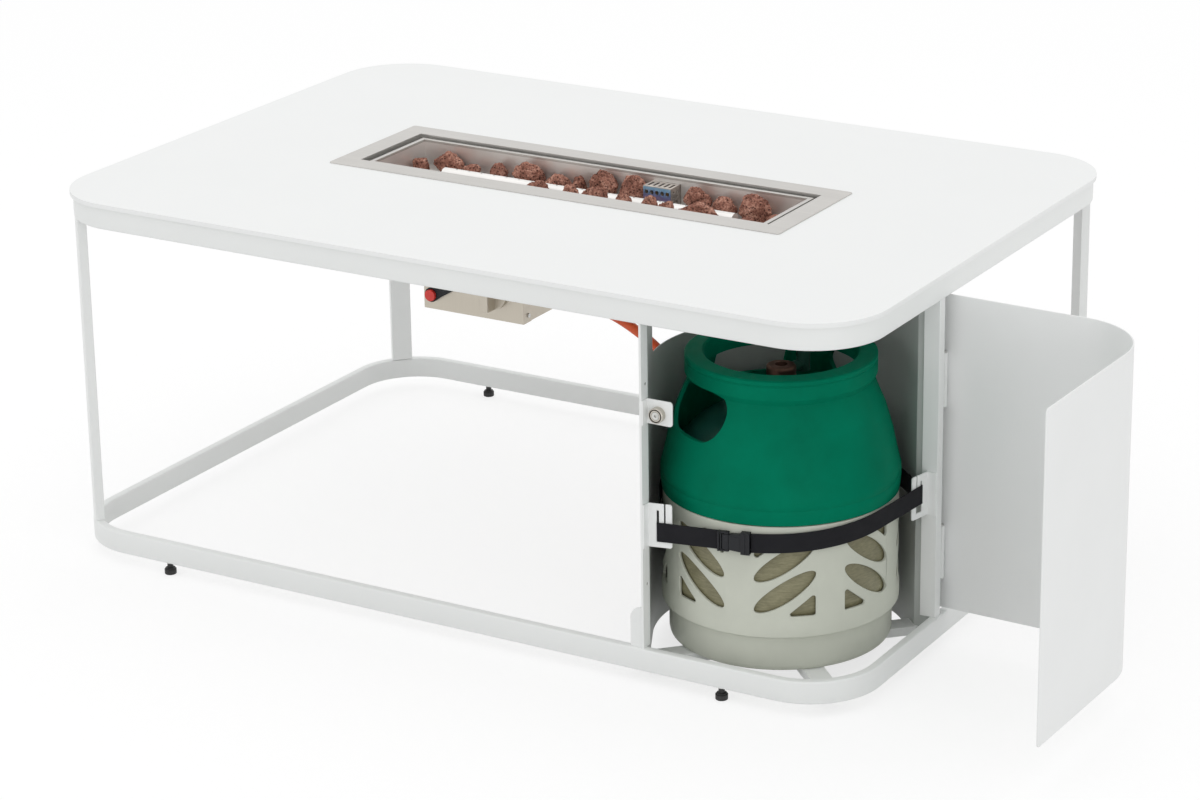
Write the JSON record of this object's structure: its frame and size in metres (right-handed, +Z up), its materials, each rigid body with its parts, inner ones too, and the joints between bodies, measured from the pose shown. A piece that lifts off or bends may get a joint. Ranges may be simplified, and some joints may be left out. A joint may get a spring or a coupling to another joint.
{
  "type": "fire pit table",
  "caption": "Low rectangular table on an open tube frame, with a long gas burner trough, a control box, and a strapped gas bottle behind a curved hinged door.",
  "frame": {"origin": "on the floor under the middle of the table top", "axes": "+Z up; +X along the table's long side, towards the end with the door; +Y from the front, where the controls are, to the back"},
  "size_m": [1.4717, 0.8449, 0.5115],
  "materials": {
    "table_top": "white powder coat",
    "frame": "white powder coat",
    "bay_metal": "white powder coat",
    "door_metal": "white powder coat",
    "panel_metal": "grey powder coat",
    "burner_steel": "brushed stainless",
    "box_steel": "brushed stainless",
    "fastener": "zinc plated",
    "brass": "turned brass",
    "bronze": "dull bronze",
    "black_plastic": "moulded",
    "red_plastic": "moulded",
    "green_plastic": "moulded, dyed through",
    "grey_plastic": "moulded, dyed through",
    "vessel": "wound composite under clear resin",
    "webbing": "woven polyester",
    "hose": "smooth orange rubber",
    "rubber": "moulded rubber",
    "magnet": "nickel plated",
    "rock": "porous lava",
    "glide": "moulded",
    "green_dark": "moulded"
  },
  "bodies": {
    "table": {"table_top": "table_top", "top_tabs": "frame", "top_screws": "fastener", "upper_long_rails": "frame", "lower_long_rails": "frame", "short_rails": "frame", "corner_bends": "frame", "legs": "frame", "foot_nuts": "fastener", "burner_casing": "burner_steel", "burner_tray": "burner_steel", "burner_supports": "burner_steel", "burner_pipe": "burner_steel", "supply_pipe": "brass", "pilot_hood": "burner_steel", "pilot_parts": "brass", "lava_rocks": "rock", "control_box": "box_steel", "box_front": "box_steel", "box_screws": "fastener", "igniter_housing": "black_plastic", "valve_body": "brass", "inlet_fitting": "brass", "latch_post": "bay_metal", "post_gusset": "bay_metal", "hinge_post": "bay_metal", "bottle_bar_long": "bay_metal", "bottle_bar_short": "bay_metal", "inner_panel": "panel_metal", "panel_screws": "fastener", "hose_grommet": "rubber", "latch_tab": "bay_metal", "latch_magnet": "magnet", "latch_screw": "fastener", "bracket_left": "bay_metal", "bracket_right": "bay_metal", "strap_tail": "webbing", "strap_front": "webbing", "strap_back": "webbing", "buckle_socket": "black_plastic", "buckle_plug": "black_plastic", "bottle_jacket": "grey_plastic", "bottle_vessel": "vessel", "bottle_shroud": "green_plastic", "bottle_valve": "bronze", "regulator": "green_dark", "gas_hose": "hose", "hose_clamps": "fastener", "hinge_fixed_leaves": "bay_metal", "hinge_pins": "fastener"},
    "door": {"door_panel": "door_metal", "door_striker": "fastener", "hinge_door_leaves": "door_metal"},
    "knob": {"control_knob": "box_steel"},
    "button": {"igniter_button": "red_plastic"},
    "lever": {"regulator_lever": "black_plastic"},
    "foot_fl": {"foot_front_left": "glide"},
    "foot_fr": {"foot_front_right": "glide"},
    "foot_bl": {"foot_back_left": "glide"},
    "foot_br": {"foot_back_right": "glide"}
  },
  "joints": [
    {"name": "door_hinge", "type": "hinge", "parent": "table", "child": "door", "pos_m": [0.588, -0.118, 0.244], "axis": [0, 0, 1], "range_deg": [-88.6, 31.4]},
    {"name": "control_knob_turn", "type": "hinge", "parent": "table", "child": "knob", "pos_m": [-0.0775, -0.12, 0.372], "axis": [0, -1, 0], "range_deg": [0, 210]},
    {"name": "igniter_press", "type": "slide", "parent": "table", "child": "button", "axis": [0, 1, 0], "range_m": [0, 0.004], "stiffness_N_per_m": 400},
    {"name": "regulator_switch", "type": "hinge", "parent": "table", "child": "lever", "pos_m": [0.42, -0.178, 0.4353], "axis": [0, 0, 1], "range_deg": [0, 90]},
    {"name": "foot_fl_height", "type": "slide", "parent": "table", "child": "foot_fl", "axis": [0, 0, -1], "range_m": [0, 0.008]},
    {"name": "foot_fr_height", "type": "slide", "parent": "table", "child": "foot_fr", "axis": [0, 0, -1], "range_m": [0, 0.008]},
    {"name": "foot_bl_height", "type": "slide", "parent": "table", "child": "foot_bl", "axis": [0, 0, -1], "range_m": [0, 0.008]},
    {"name": "foot_br_height", "type": "slide", "parent": "table", "child": "foot_br", "axis": [0, 0, -1], "range_m": [0, 0.008]}
  ]
}
